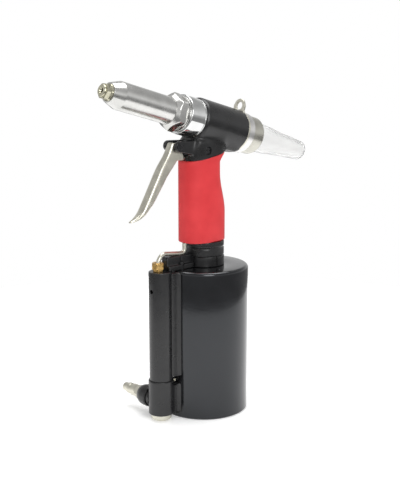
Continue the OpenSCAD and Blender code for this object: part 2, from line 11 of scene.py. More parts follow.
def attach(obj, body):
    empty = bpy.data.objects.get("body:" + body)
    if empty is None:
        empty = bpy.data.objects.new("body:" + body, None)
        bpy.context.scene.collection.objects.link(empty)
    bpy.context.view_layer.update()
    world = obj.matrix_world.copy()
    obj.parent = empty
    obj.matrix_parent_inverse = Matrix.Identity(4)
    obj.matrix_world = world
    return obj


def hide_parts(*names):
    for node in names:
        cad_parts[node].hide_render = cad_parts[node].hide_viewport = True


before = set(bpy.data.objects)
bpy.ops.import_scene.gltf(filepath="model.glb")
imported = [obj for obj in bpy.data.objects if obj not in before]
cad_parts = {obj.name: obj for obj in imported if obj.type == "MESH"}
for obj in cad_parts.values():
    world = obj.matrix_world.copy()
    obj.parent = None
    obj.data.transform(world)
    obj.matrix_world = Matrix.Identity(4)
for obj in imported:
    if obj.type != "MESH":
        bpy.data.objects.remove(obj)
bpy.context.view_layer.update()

bl_info = {
    "name": "Rivet gun",
    "version": (1, 0, 0),
    "blender": (4, 5, 0),
    "location": "View3D > Sidebar > Rivet gun",
    "description": "Builds an air-hydraulic rivet gun from turned, cast and bent parts",
    "category": "Object",
}

MM = 0.001
TURN = 2 * math.pi
Y_AXIS = Matrix.Rotation(-math.pi / 2, 4, "X")      # local Z becomes +Y
MINUS_Y = Matrix.Rotation(math.pi / 2, 4, "X")      # local Z becomes -Y


# ---------- sizes ----------

def size(name, millimetres, description):
    return bpy.props.FloatProperty(
        name=name, description=description, default=millimetres * MM, unit="LENGTH", precision=5)


class HeadSizes(bpy.types.PropertyGroup):
    tilt: bpy.props.FloatProperty(
        name="Nose up", description="Angle of the barrel above level",
        default=math.radians(15.4), subtype="ANGLE")
    axis_height: size("Axis height", 279.4, "Height of the barrel's axis over the tank's centre")
    head_radius: size("Head radius", 20.25, "Radius of the black head")
    head_bore: size("Head bore", 17.2, "Radius of the oil cylinder")
    head_front: size("Head front", -13.9, "Front of the head along the barrel")
    head_end: size("Head end", 41.3, "Rear of the head along the barrel")
    nose_radius: size("Nose radius", 12.65, "Radius of the nose housing")
    hex_flats: size("Hexagon", 31.0, "Width across the flats of the nose housing")
    mandrel_radius: size("Mandrel bore", 1.6, "Radius of the bore for the rivet's mandrel")
    bottle_end: size("Bottle end", 139.0, "Closed end of the collector bottle along the barrel")


class HandleSizes(bpy.types.PropertyGroup):
    grip_depth: size("Grip depth", 47.0, "Depth of the grip sleeve, front to back")
    grip_width: size("Grip width", 34.0, "Width of the grip sleeve")
    sleeve_wall: size("Sleeve wall", 2.8, "Thickness of the rubber")
    grip_low: size("Grip bottom", 167.0, "Height of the grip's lower edge")
    grip_high: size("Grip top", 248.3, "Height of the grip's upper edge at its middle")
    neck_radius: size("Neck radius", 19.4, "Radius of the slotted neck nut")
    nut_low: size("Nut seat", 143.6, "Height of the tank's top")
    nut_height: size("Nut height", 9.8, "Height of the neck nut")


class LeverSizes(bpy.types.PropertyGroup):
    width: size("Width", 10.5, "Width of the lever")
    sheet: size("Sheet", 1.6, "Thickness of the sheet metal")
    pivot_x: size("Pivot X", -38.0, "Place of the pin, front to back")
    pivot_z: size("Pivot Z", 259.0, "Height of the pin")
    ear: size("Ear", 4.0, "Thickness of each ear of the fork")
    gap: size("Gap", 11.3, "Space between the ears")


class TankSizes(bpy.types.PropertyGroup):
    radius: size("Radius", 42.5, "Outside radius of the tank")
    height: size("Height", 143.5, "Height of the tank")
    wall: size("Wall", 3.0, "Wall of the tank")
    edge: size("Edge", 3.2, "Rounding of the tank's top edge")


class ValveSizes(bpy.types.PropertyGroup):
    centre_x: size("Centre X", -55.5, "Place of the valve's centre")
    radius: size("Tube radius", 10.9, "Radius of the valve tube")
    block_radius: size("Block radius", 12.0, "Radius of the valve block")
    block_low: size("Block bottom", 6.0, "Height of the valve block's lower face")
    joint: size("Joint", 39.5, "Height of the joint between block and tube")
    top: size("Top", 144.5, "Top of the valve tube")
    inlet_height: size("Inlet height", 18.3, "Height of the air inlet")
    pipe_radius: size("Pilot pipe", 2.2, "Radius of the pilot pipe")
    pipe_bend: size("Pipe bend", 9.0, "Radius of the pilot pipe's front bend")


class StageSettings(bpy.types.PropertyGroup):
    lens: bpy.props.FloatProperty(
        name="Lens", description="Focal length of the camera", default=88.36, min=20, max=300)
    floor_colour: bpy.props.FloatVectorProperty(
        name="Floor", description="Colour of the floor", default=(0.93, 0.93, 0.93), subtype="COLOR")
    key_power: bpy.props.FloatProperty(
        name="Key", description="Strength of the front softbox", default=9.0, unit="POWER")
    sky: bpy.props.FloatProperty(
        name="Surroundings", description="Brightness of the white surroundings", default=0.9)
    floor_radius: bpy.props.FloatProperty(
        name="Floor radius", description="Radius of the round floor", default=0.55, unit="LENGTH")


# ---------- outlines and turned parts ----------

def mm(group, name):
    return getattr(group, name) / MM


def rounded(points, step=0.3):
    """A closed outline of (x, y) or (x, y, radius), with arcs at the corners that have a radius."""
    out = []
    for i, point in enumerate(points):
        here = np.array(point[:2], float)
        radius = point[2] if len(point) > 2 else 0.0
        if radius <= 0:
            out.append(here)
            continue
        back = np.array(points[i - 1][:2], float) - here
        ahead = np.array(points[(i + 1) % len(points)][:2], float) - here
        back_length, ahead_length = np.linalg.norm(back), np.linalg.norm(ahead)
        back, ahead = back / back_length, ahead / ahead_length
        half = 0.5 * math.acos(float(np.clip(back @ ahead, -1, 1)))
        reach = min(radius / math.tan(half), 0.48 * back_length, 0.48 * ahead_length)
        radius = reach * math.tan(half)
        centre = here + (back + ahead) / np.linalg.norm(back + ahead) * radius / math.sin(half)
        start, end = here + back * reach - centre, here + ahead * reach - centre
        first = math.atan2(start[1], start[0])
        sweep = (math.atan2(end[1], end[0]) - first + math.pi) % TURN - math.pi
        steps = max(3, math.ceil(abs(sweep) / step))
        for k in range(steps + 1):
            angle = first + sweep * k / steps
            out.append(centre + radius * np.array((math.cos(angle), math.sin(angle))))
    return out


def turned(points, limit=None, count=128):
    """Turns a closed outline of (radius, height[, rounding]) about Z; limit() trims its radius."""
    rows = np.array(rounded(points))
    angle = np.arange(count) * TURN / count
    radius = np.repeat(rows[:, :1], count, axis=1)
    height = np.repeat(rows[:, 1:2], count, axis=1)
    if limit:
        radius = limit(angle[None, :], radius, height)
    spots = np.stack([radius * np.cos(angle), radius * np.sin(angle), height], -1).reshape(-1, 3)
    faces = []
    for i in range(len(rows)):
        a, b = i * count, (i + 1) % len(rows) * count
        if rows[i][0] < 1e-6 and rows[(i + 1) % len(rows)][0] < 1e-6:
            continue
        for k in range(count):
            n = (k + 1) % count
            faces.append((a + k, a + n, b + n, b + k))
    return spots, faces


def hexagon(angle, flats, turn=0.0):
    """Radius of a hexagon at an angle."""
    return flats / 2 / np.cos((angle + turn) % (math.pi / 3) - math.pi / 6)


def chamfered(low, high, corner, cut, steps=5):
    """Outline points up the outside of a bar that has chamfers, from its lower to its upper end."""
    drop = cut * 0.58
    lower = [(corner - cut * (1 - k / steps), low + drop * k / steps) for k in range(steps + 1)]
    upper = [(corner - cut * k / steps, high - drop * (1 - k / steps)) for k in range(steps + 1)]
    return lower + upper


def piped(path, radius, count=20):
    """A round rod along a path of points."""
    path = np.array(path, float)
    ahead = np.gradient(path, axis=0)
    ahead /= np.linalg.norm(ahead, axis=1)[:, None]
    side = np.cross(ahead, (0.0, 1.0, 0.0))
    side /= np.linalg.norm(side, axis=1)[:, None]
    up = np.cross(side, ahead)
    angle = np.arange(count) * TURN / count
    spots = (path[:, None] + radius * (side[:, None] * np.cos(angle)[None, :, None]
                                       + up[:, None] * np.sin(angle)[None, :, None])).reshape(-1, 3)
    faces = []
    for i in range(len(path) - 1):
        for k in range(count):
            n = (k + 1) % count
            faces.append((i * count + k, i * count + n, (i + 1) * count + n, (i + 1) * count + k))
    faces.append(tuple(range(count - 1, -1, -1)))
    faces.append(tuple((len(path) - 1) * count + k for k in range(count)))
    return spots, faces


def spline(points, per_side=6):
    """A smooth curve through points."""
    points = np.array(points, float)
    ends = np.vstack([2 * points[0] - points[1], points, 2 * points[-1] - points[-2]])
    out = []
    for i in range(1, len(ends) - 2):
        a, b, c, d = ends[i - 1:i + 3]
        for k in range(per_side):
            t = k / per_side
            out.append(0.5 * (2 * b + (c - a) * t + (2 * a - 5 * b + 4 * c - d) * t * t
                              + (3 * b - a - 3 * c + d) * t ** 3))
    out.append(points[-1])
    return np.array(out)


# ---------- shapes given by a distance ----------

def blend_min(a, b, soft):
    """Union with a fillet."""
    h = np.maximum(soft - np.abs(a - b), 0) / soft
    return np.minimum(a, b) - h * h * soft / 4


def blend_max(a, b, soft):
    """Intersection with a rounded edge."""
    return -blend_min(-a, -b, soft)


def round_edge(a, b, radius):
    """Intersection of two distances with an exact rounding."""
    a, b = a + radius, b + radius
    outside = np.hypot(np.maximum(a, 0), np.maximum(b, 0))
    return outside + np.minimum(np.maximum(a, b), 0) - radius


def slab(value, low, high):
    return np.abs(value - (low + high) / 2) - (high - low) / 2


def bar_2d(x, y, depth, width, corner):
    """Rounded rectangle about the origin."""
    qx, qy = np.abs(x) - depth / 2 + corner, np.abs(y) - width / 2 + corner
    return np.hypot(np.maximum(qx, 0), np.maximum(qy, 0)) + np.minimum(np.maximum(qx, qy), 0) - corner


def outline_distance(x, y, points):
    """Signed distance to a closed outline, less than zero inside."""
    x, y = np.broadcast_arrays(x, y)
    near = np.full(x.shape, 1e9)
    inside = np.zeros(x.shape, bool)
    for i in range(len(points)):
        ax, ay = points[i - 1]
        bx, by = points[i]
        ex, ey = bx - ax, by - ay
        t = np.clip(((x - ax) * ex + (y - ay) * ey) / (ex * ex + ey * ey + 1e-12), 0, 1)
        near = np.minimum(near, (x - ax - t * ex) ** 2 + (y - ay - t * ey) ** 2)
        if ey != 0:
            inside ^= ((ay > y) != (by > y)) & (x < ax + (y - ay) * ex / ey)
    return np.where(inside, -1, 1) * np.sqrt(near)


CORNERS = [(i, j, k) for i in (0, 1) for j in (0, 1) for k in (0, 1)]
EDGES = [(a, b) for a in CORNERS for b in CORNERS
         if a < b and sum(abs(u - v) for u, v in zip(a, b)) == 1]


def shaped(distance, low, high, step):
    """Closed mesh of the surface where distance(x, y, z) is zero, inside a box in millimetres."""
    low, high = np.array(low, float), np.array(high, float)
    count = np.ceil((high - low) / step).astype(int) + 1
    axes = [low[i] + step * np.arange(count[i]) for i in range(3)]
    value = np.broadcast_to(distance(*np.meshgrid(*axes, indexing="ij", sparse=True)), count)
    inside = value < 0
    total = sum(inside[i:count[0] - 1 + i, j:count[1] - 1 + j, k:count[2] - 1 + k].astype(np.int8)
                for i, j, k in CORNERS)
    mixed = (total > 0) & (total < 8)
    cells = np.argwhere(mixed)
    number = np.full(mixed.shape, -1, np.int64)
    number[mixed] = np.arange(len(cells))
    place, hits = np.zeros((len(cells), 3)), np.zeros(len(cells))
    for a, b in EDGES:
        va = value[tuple((cells + a).T)]
        vb = value[tuple((cells + b).T)]
        cross = (va < 0) != (vb < 0)
        t = va / np.where(cross, va - vb, 1)
        place[cross] += (np.array(a) + np.outer(t, np.subtract(b, a)))[cross]
        hits += cross
    spots = low + step * (cells + place / hits[:, None])
    faces = []
    for axis in range(3):
        other = [(axis + 1) % 3, (axis + 2) % 3]
        first = np.take(inside, range(count[axis] - 1), axis)
        second = np.take(inside, range(1, count[axis]), axis)
        found = np.argwhere(first != second)
        found = found[(found[:, other[0]] > 0) & (found[:, other[1]] > 0)
                      & (found[:, other[0]] < count[other[0]] - 1)
                      & (found[:, other[1]] < count[other[1]] - 1)]
        outward = first[tuple(found.T)]
        unit = np.eye(3, dtype=int)
        ring = [found - unit[other[0]] - unit[other[1]], found - unit[other[1]], found,
                found - unit[other[0]]]
        quads = np.stack([number[tuple(r.T)] for r in ring], 1)
        quads[~outward] = quads[~outward][:, ::-1]
        faces.append(quads)
    faces = np.concatenate(faces)
    reach = 0.02
    for _ in range(5):
        x, y, z = spots.T
        off = distance(x, y, z)
        slope = np.stack([(distance(x + reach * (i == 0), y + reach * (i == 1), z + reach * (i == 2))
                           - distance(x - reach * (i == 0), y - reach * (i == 1), z - reach * (i == 2)))
                          / (2 * reach) for i in range(3)], 1)
        steep = np.maximum((slope ** 2).sum(1), 0.05)
        move = slope * (off / steep)[:, None]
        length = np.linalg.norm(move, axis=1)
        spots = spots - move * np.minimum(1, 0.4 * step / np.maximum(length, 1e-9))[:, None]
    return spots, faces.tolist()


# ---------- making pieces ----------

def barrel_matrix(station=0.0):
    """Place on the barrel's axis: local Z runs to the rear and local X down."""
    head = bpy.context.scene.rivet_head
    place = Matrix.Translation((0, 0, mm(head, "axis_height")))
    return place @ Matrix.Rotation(math.pi / 2 + head.tilt, 4, "Y") @ Matrix.Translation((0, 0, station))


def barrel_coords(x, y, z):
    """Coordinates of points along the barrel: down, across and to the rear."""
    head = bpy.context.scene.rivet_head
    along, up = math.cos(head.tilt), math.sin(head.tilt)
    rise = z - mm(head, "axis_height")
    return -up * x - along * rise, y + 0 * x, along * x - up * rise


def piece(name, parts, finish, body="tool_frame", stands_for=(), place=None, sharp=32.0):
    """One object made of closed shells in millimetres, its finish, its body and the nodes it replaces."""
    spots, faces, start = [], [], 0
    for part_spots, part_faces in parts:
        spots.append(np.asarray(part_spots, float))
        faces += [tuple(i + start for i in face) for face in part_faces]
        start += len(part_spots)
    spots = np.concatenate(spots)
    if place is not None:
        turn = np.array(place.to_3x3())
        spots = spots @ turn.T + np.array(place.translation)
    mesh = bpy.data.meshes.new(name)
    mesh.from_pydata((spots * MM).tolist(), [], faces)
    work = bmesh.new()
    work.from_mesh(mesh)
    bmesh.ops.remove_doubles(work, verts=work.verts, dist=2e-7)
    bmesh.ops.dissolve_degenerate(work, edges=work.edges, dist=1e-8)
    bmesh.ops.recalc_face_normals(work, faces=work.faces)
    loose = [v for v in work.verts if not v.link_faces]
    bmesh.ops.delete(work, geom=loose, context="VERTS")
    work.to_mesh(mesh)
    work.free()
    if not mesh.polygons:
        raise RuntimeError(f"{name} has no faces")
    mesh.shade_smooth()
    mesh.set_sharp_from_angle(angle=math.radians(sharp))
    made = bpy.data.objects.new(name, mesh)
    bpy.context.scene.collection.objects.link(made)
    mesh.materials.append(finish_of(finish))
    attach(made, body)
    if stands_for:
        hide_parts(*stands_for)
    return made


def bore(target, place, radius, depth):
    """Cuts a round hole into a finished piece. place is the hole's mouth with local Z pointing in."""
    spots, faces = turned([(0, -1), (radius, -1), (radius, depth), (0, depth)], count=40)
    mesh = bpy.data.meshes.new("drill")
    turn = np.array(place.to_3x3())
    mesh.from_pydata(((spots @ turn.T + np.array(place.translation)) * MM).tolist(), [], faces)
    work = bmesh.new()
    work.from_mesh(mesh)
    bmesh.ops.remove_doubles(work, verts=work.verts, dist=1e-7)
    bmesh.ops.recalc_face_normals(work, faces=work.faces)
    work.to_mesh(mesh)
    work.free()
    drill = bpy.data.objects.new("drill", mesh)
    bpy.context.scene.collection.objects.link(drill)
    cut = target.modifiers.new("bore", "BOOLEAN")
    cut.operation, cut.solver, cut.object = "DIFFERENCE", "EXACT", drill
    graph = bpy.context.evaluated_depsgraph_get()
    fresh = bpy.data.meshes.new_from_object(target.evaluated_get(graph))
    old = target.data
    target.modifiers.clear()
    target.data = fresh
    bpy.data.meshes.remove(old)
    bpy.data.objects.remove(drill)
    fresh.set_sharp_from_angle(angle=math.radians(32))
    return target


# ---------- finishes ----------

def noise(tree, coords, scale, detail=3.0, stretch=None, turn=None):
    """Noise texture on object coordinates, with its features measured per metre."""
    source = coords
    if stretch or turn:
        mapping = tree.nodes.new("ShaderNodeMapping")
        mapping.inputs["Scale"].default_value = stretch or (1, 1, 1)
        mapping.inputs["Rotation"].default_value = turn or (0, 0, 0)
        tree.links.new(coords, mapping.inputs["Vector"])
        source = mapping.outputs["Vector"]
    texture = tree.nodes.new("ShaderNodeTexNoise")
    texture.inputs["Scale"].default_value = scale
    texture.inputs["Detail"].default_value = detail
    tree.links.new(source, texture.inputs["Vector"])
    return texture.outputs["Fac"]


def ramp(tree, factor, low, high, start=0.3, end=0.7):
    """Colour between two tones."""
    node = tree.nodes.new("ShaderNodeValToRGB")
    node.color_ramp.elements[0].position, node.color_ramp.elements[1].position = start, end
    node.color_ramp.elements[0].color = (*low, 1)
    node.color_ramp.elements[1].color = (*high, 1)
    tree.links.new(factor, node.inputs["Fac"])
    return node.outputs["Color"]


def ranged(tree, factor, low, high):
    """Number between two limits."""
    node = tree.nodes.new("ShaderNodeMapRange")
    node.inputs["From Min"].default_value, node.inputs["From Max"].default_value = 0.3, 0.7
    node.inputs["To Min"].default_value, node.inputs["To Max"].default_value = low, high
    tree.links.new(factor, node.inputs["Value"])
    return node.outputs["Result"]


def bump(tree, height, strength, distance, under=None):
    node = tree.nodes.new("ShaderNodeBump")
    node.inputs["Strength"].default_value = strength
    node.inputs["Distance"].default_value = distance
    tree.links.new(height, node.inputs["Height"])
    if under:
        tree.links.new(under, node.inputs["Normal"])
    return node.outputs["Normal"]


# how each finish looks: two tones, metallic, roughness range, mottling and grain per metre,
# grain height in metres, and the shader's own settings
FINISHES = {
    "yellow_zinc": dict(tones=((0.40, 0.385, 0.29), (0.58, 0.56, 0.44)), metal=1.0, rough=(0.20, 0.34),
                        mottle=260, grain=2600, height=4e-6),
    "polished_steel": dict(tones=((0.54, 0.54, 0.52), (0.66, 0.655, 0.64)), metal=1.0, rough=(0.20, 0.28),
                           mottle=60, lines=9000, height=5e-6),
    "chrome": dict(tones=((0.62, 0.625, 0.62), (0.72, 0.725, 0.72)), metal=1.0, rough=(0.06, 0.12),
                   mottle=90, lines=7000, height=1.5e-6),
    "hardened_steel": dict(tones=((0.33, 0.34, 0.36), (0.48, 0.48, 0.50)), metal=1.0, rough=(0.25, 0.4),
                           mottle=120, grain=3000, height=4e-6),
    "spring_steel": dict(tones=((0.40, 0.41, 0.43), (0.60, 0.60, 0.61)), metal=1.0, rough=(0.25, 0.38),
                         mottle=500, grain=4000, height=4e-6),
    "seal_rubber": dict(tones=((0.018, 0.018, 0.018), (0.034, 0.034, 0.035)), metal=0.0, rough=(0.45, 0.65),
                        mottle=300, grain=2500, height=2e-5),
    "black_casting": dict(tones=((0.006, 0.006, 0.0065), (0.012, 0.012, 0.013)), metal=0.0,
                          rough=(0.24, 0.36), mottle=90, grain=700, height=4.5e-5,
                          settings={"Specular IOR Level": 0.5}),
    "black_oxide": dict(tones=((0.010, 0.010, 0.011), (0.030, 0.030, 0.032)), metal=0.3, rough=(0.22, 0.36),
                        mottle=500, grain=3000, height=5e-6),
    "satin_aluminium": dict(tones=((0.66, 0.65, 0.64), (0.76, 0.75, 0.74)), metal=1.0, rough=(0.24, 0.36),
                            mottle=70, lines=8000, height=6e-6),
    "nickel": dict(tones=((0.46, 0.45, 0.40), (0.56, 0.55, 0.49)), metal=1.0, rough=(0.24, 0.34),
                   mottle=110, lines=8000, height=5e-6),
    "plated_steel": dict(tones=((0.58, 0.56, 0.48), (0.70, 0.68, 0.59)), metal=1.0, rough=(0.28, 0.38),
                         mottle=140, grain=1500, height=1e-5),
    "red_rubber": dict(tones=((0.66, 0.036, 0.042), (0.74, 0.046, 0.052)), metal=0.0, rough=(0.36, 0.48),
                       mottle=60, grain=900, height=1.6e-5, settings={"Specular IOR Level": 0.35}),
    "tank_black": dict(tones=((0.0035, 0.0035, 0.004), (0.006, 0.006, 0.007)), metal=0.0,
                       rough=(0.10, 0.16), mottle=50, grain=420, height=2.5e-5,
                       settings={"Coat Weight": 0.25, "Coat Roughness": 0.06,
                                 "Specular Tint": (0.90, 0.94, 1.0, 1.0)}),
    "valve_black": dict(tones=((0.007, 0.007, 0.0075), (0.013, 0.013, 0.014)), metal=0.0,
                        rough=(0.24, 0.34), mottle=80, grain=700, height=6e-6),
    "brass": dict(tones=((0.48, 0.29, 0.09), (0.66, 0.44, 0.17)), metal=1.0, rough=(0.18, 0.32), mottle=300,
                  grain=2500, height=6e-6),
    "bronze": dict(tones=((0.42, 0.26, 0.11), (0.58, 0.38, 0.17)), metal=1.0, rough=(0.3, 0.42), mottle=300,
                   grain=3000, height=6e-6),
    "piston_aluminium": dict(tones=((0.60, 0.60, 0.60), (0.74, 0.74, 0.73)), metal=1.0, rough=(0.28, 0.42),
                             mottle=90, lines=6000, height=8e-6),
    "clear_plastic": dict(tones=((0.93, 0.93, 0.925), (0.985, 0.985, 0.98)), metal=0.0, rough=(0.16, 0.26),
                          mottle=90, grain=900, height=1.5e-5,
                          settings={"Transmission Weight": 0.95, "IOR": 1.38}),
}


def finish_of(slot):
    """The node material of a finish: mottled colour, uneven roughness and a fine grain or turning lines."""
    if slot in bpy.data.materials and bpy.data.materials[slot].get("made_here"):
        return bpy.data.materials[slot]
    look = FINISHES[slot]
    if slot in bpy.data.materials:
        bpy.data.materials[slot].name = slot + "_packed"
    material = bpy.data.materials.new(slot)
    material["made_here"] = True
    material.use_nodes = True
    tree = material.node_tree
    shader = tree.nodes["Principled BSDF"]
    coords = tree.nodes.new("ShaderNodeTexCoord").outputs["Object"]
    mottle = noise(tree, coords, look["mottle"], 4.0)
    tree.links.new(ramp(tree, mottle, *look["tones"]), shader.inputs["Base Color"])
    tree.links.new(ranged(tree, mottle, *look["rough"]), shader.inputs["Roughness"])
    if "lines" in look:
        # turning lines run round the barrel, so they vary along it only
        fine = noise(tree, coords, 1.0, 2.0,
                     (look["lines"] * 0.02, look["lines"] * 0.02, look["lines"] * 0.35),
                     (0, math.radians(-105.4), 0))
    else:
        fine = noise(tree, coords, look["grain"], 2.0)
    normal = bump(tree, fine, 1.0, look["height"])
    tree.links.new(normal, shader.inputs["Normal"])
    shader.inputs["Metallic"].default_value = look["metal"]
    for socket, value in look.get("settings", {}).items():
        shader.inputs[socket].default_value = value
    return material


# ---------- pieces ----------

class BuildNose(bpy.types.Operator):
    """Nosepiece, nose housing and the chromed collar in front of the head"""
    bl_idname = "rivet_gun.nose"
    bl_label = "Nose"

    def execute(self, context):
        head = context.scene.rivet_head
        bore_r = mm(head, "mandrel_radius")
        tip, front = -124.0, -116.2
        corner = 12.6 / math.sqrt(3)

        def six(angle, radius, height):
            on_hex = (height > tip + 1.55) & (height < front - 1.25) & (radius > 5.6)
            return np.where(on_hex, np.minimum(radius, hexagon(angle, 12.6, math.pi / 6)), radius)

        hexed = chamfered(tip + 1.6, front - 1.3, corner, 0.9)
        nosepiece = turned(
            [(2.6, tip, 0.2), (5.0, tip, 0.35), (5.5, tip + 0.8, 0.3), (5.5, tip + 1.58)] + hexed
            + [(7.8, front - 1.28), (7.8, front - 0.06, 0.2), (5.0, front - 0.06), (5.0, front + 7.6, 0.3),
               (bore_r, front + 7.6), (bore_r, tip + 1.5)], six, 144)
        piece("turned_nosepiece", [nosepiece], "yellow_zinc", stands_for=["nosepiece"],
              place=barrel_matrix())

        r = mm(head, "nose_radius")
        flats = mm(head, "hex_flats")
        outer = flats / math.sqrt(3)
        hex_low, hex_high = -47.0, -36.3
        slope = [(r + 0.3 + 5.2 * k / 12, hex_low + 0.02 + (5.2 * k / 12) / 1.1 * 0.95) for k in range(13)]
        back = [(outer - 0.9 * (k / 4) ** 2, hex_high - 0.55 * (1 - k / 4)) for k in range(5)]

        def six_big(angle, radius, height):
            on_hex = (height > hex_low) & (height < hex_high + 0.01) & (radius > r)
            return np.where(on_hex, np.minimum(radius, hexagon(angle, flats)), radius)

        housing = turned(
            [(5.05, front), (8.9, front, 0.35), (r, -105.4, 2.0), (r, hex_low - 0.01)] + slope + back
            + [(16.6, hex_high + 0.02), (16.6, -34.8, 0.25), (15.2, -34.8), (15.2, -34.0),
               (16.6, -34.0, 0.25), (16.6, -32.62, 0.2), (12.9, -32.62), (12.9, -16.3, 0.3), (9.3, -16.3),
               (9.3, front + 7.6), (5.05, front + 7.6)], six_big, 144)
        piece("turned_nose_housing", [housing], "polished_steel", stands_for=["nose_housing"],
              place=barrel_matrix())

        head_s = -14.3
        collar = turned(
            [(13.0, -32.55, 0.2), (18.5, -32.55, 1.0), (18.5, head_s - 2.3, 0.2), (17.8, head_s - 2.0, 0.2),
             (17.8, head_s - 1.1, 0.2), (18.5, head_s - 0.8, 0.2), (18.5, head_s, 0.3), (17.1, head_s),
             (17.1, -8.1, 0.4), (8.1, -8.1), (8.1, -16.0), (13.0, -16.0)])
        piece("chromed_collar", [collar], "chrome", stands_for=["head_collar"], place=barrel_matrix())
        return {"FINISHED"}


class BuildCasting(bpy.types.Operator):
    """Black casting: head, saddle, fork ears, core of the handle and neck"""
    bl_idname = "rivet_gun.casting"
    bl_label = "Casting"

    def execute(self, context):
        head, handle, lever = (context.scene.rivet_head, context.scene.rivet_handle,
                               context.scene.rivet_lever)
        head_r, front, end = mm(head, "head_radius"), mm(head, "head_front"), mm(head, "head_end")
        low, high, wall = mm(handle, "grip_low"), mm(handle, "grip_high"), mm(handle, "sleeve_wall")
        px, pz = mm(lever, "pivot_x"), mm(lever, "pivot_z")
        ear, gap = mm(lever, "ear"), mm(lever, "gap")
        ear_outline = [(px, pz + 4.9)] + [
            (px + 4.9 * math.cos(t), pz + 4.9 * math.sin(t))
            for t in np.radians(np.arange(100, 270, 10))] + [
            (px, pz - 4.9), (-24, 251), (-12, 252), (-12, 263)]
        shoulder = [(-30, 240), (30, 240), (24, 254), (15, 264), (-19, 264), (-25.5, 255.5)]
        rear_rib = [(8, 251.4), (20.8, 252.2), (30.5, 249.8), (34.0, 251.5), (27, 262), (8, 262)]

        def casting(x, y, z):
            down, across, along = barrel_coords(x, y, z)
            radius = np.hypot(down, across)
            tube = round_edge(radius - head_r, slab(along, front, end), 0.7)
            tube = round_edge(tube, (radius - head_r + 1.65) - (along - front) * 0.75, 0.5)
            foot_low = 248.6 + grip_lean(x)
            saddle = round_edge(bar_2d(x + 2, y, 35.5, 26.5, 11), np.maximum(foot_low - z, z - 274), 0.4)
            foot = bar_2d(x + 3, y, 43, 31, 12)
            foot = round_edge(foot, foot_low - z, 0.4)
            foot = blend_max(foot, outline_distance(x, z, shoulder), 4.0)
            rib = round_edge(outline_distance(x, z, rear_rib), np.abs(y) - 11.5, 2.0)
            foot = blend_min(foot, rib, 3.0)
            body = blend_min(blend_min(saddle, foot, 6.0), tube, 5.0)
            side = outline_distance(x, z, ear_outline)
            ears = round_edge(side, slab(np.abs(y), gap / 2, gap / 2 + ear), 0.7)
            root = round_edge(bar_2d(x + 18, z - 257, 12.5, 10.4, 2), np.abs(y) - gap / 2 - ear + 0.8, 1.0)
            ears = blend_min(ears, root, 1.5)
            body = blend_min(body, ears, 2.5)
            body = np.maximum(body, -(np.maximum(np.abs(y) - gap / 2, x + 24.6)))
            core = np.maximum(grip_distance(x, y, z, wall + 0.15, low, high), slab(z, low - 1.4, 250))
            neck = round_edge(np.hypot(x, y) - 19.15, slab(z, 153.6, low), 0.3)
            groove = np.hypot(np.hypot(x, y) - 19.5, z - 161.2) - 1.0
            neck = blend_max(neck, -groove, 0.3)
            inner = round_edge(np.hypot(x, y) - 18, slab(z, 137.0, 156), 0.2)
            flange = round_edge(np.hypot(x, y) - 31, slab(z, 131.4, 137.4), 0.5)
            body = np.minimum(np.minimum(body, core), np.minimum(neck, np.minimum(inner, flange)))
            ram = np.maximum(np.hypot(x, y) - 7.6, z - 263.4)
            gland = np.maximum(np.hypot(x, y) - 12.05, z - 149.5)
            pilot = np.maximum(np.hypot(y, z - 247.8) - 4.25, x + 10.4)
            cylinder = np.maximum(radius - mm(head, "head_bore"), slab(along, front - 5, end + 5))
            seat = np.maximum(radius - 18.6, along - front)
            screw = round_edge(np.hypot(x + 9, z - 254) - 3.6, y + 13.2, 0.2)
            holes = np.minimum(np.minimum(ram, gland), np.minimum(pilot, np.minimum(cylinder, seat)))
            return np.maximum(blend_max(body, -holes, 0.3), -screw)

        mesh = shaped(casting, (-45, -32, 130.5), (46, 32, 303.5), 0.7)
        piece("black_casting", [mesh], "black_casting", stands_for=["handle_casting"], sharp=40)
        return {"FINISHED"}


GRIP_CENTRE = -3        # middle of the grip's section, behind the tank's axis
GRIP_BACK = 23.5        # half depth of the grip where it isn't waisted
GRIP_WAIST = 8.2        # how much the waist takes off the back
GRIP_SIDE = 17.0        # half width of the grip
GRIP_POWER = 2.5        # 2 would be an ellipse; more is squarer


def grip_back(z):
    """Depth of the grip behind its middle: full at the bottom, narrow where the web of the hand lies."""
    rise = np.clip((249.0 - z) / 8.5, 0, 1)
    fall = np.clip((z - 194) / 38, 0, 1)
    return GRIP_BACK - GRIP_WAIST * (rise * rise * (3 - 2 * rise)) * (fall * fall * (3 - 2 * fall))


def grip_lean(x):
    """Rise of the grip's top edge towards the back."""
    return 0.16 * x + 0.0038 * np.maximum(x, 0) ** 2


def grip_distance(x, y, z, inset, low, high):
    """Distance to the grip's section, made smaller all round by inset."""
    level = z
    for _ in range(3):
        level = z - grip_lean(x) * np.clip((level - low) / (high - low), 0, 1) ** 3
    half_depth = np.where(x > GRIP_CENTRE, grip_back(level), GRIP_BACK) - inset
    half_width = GRIP_SIDE - inset
    along = np.abs((x - GRIP_CENTRE) / half_depth) ** GRIP_POWER
    across = np.abs(y / half_width) ** GRIP_POWER
    section = (along + across) ** (1 / GRIP_POWER)
    return (section - 1) * half_width


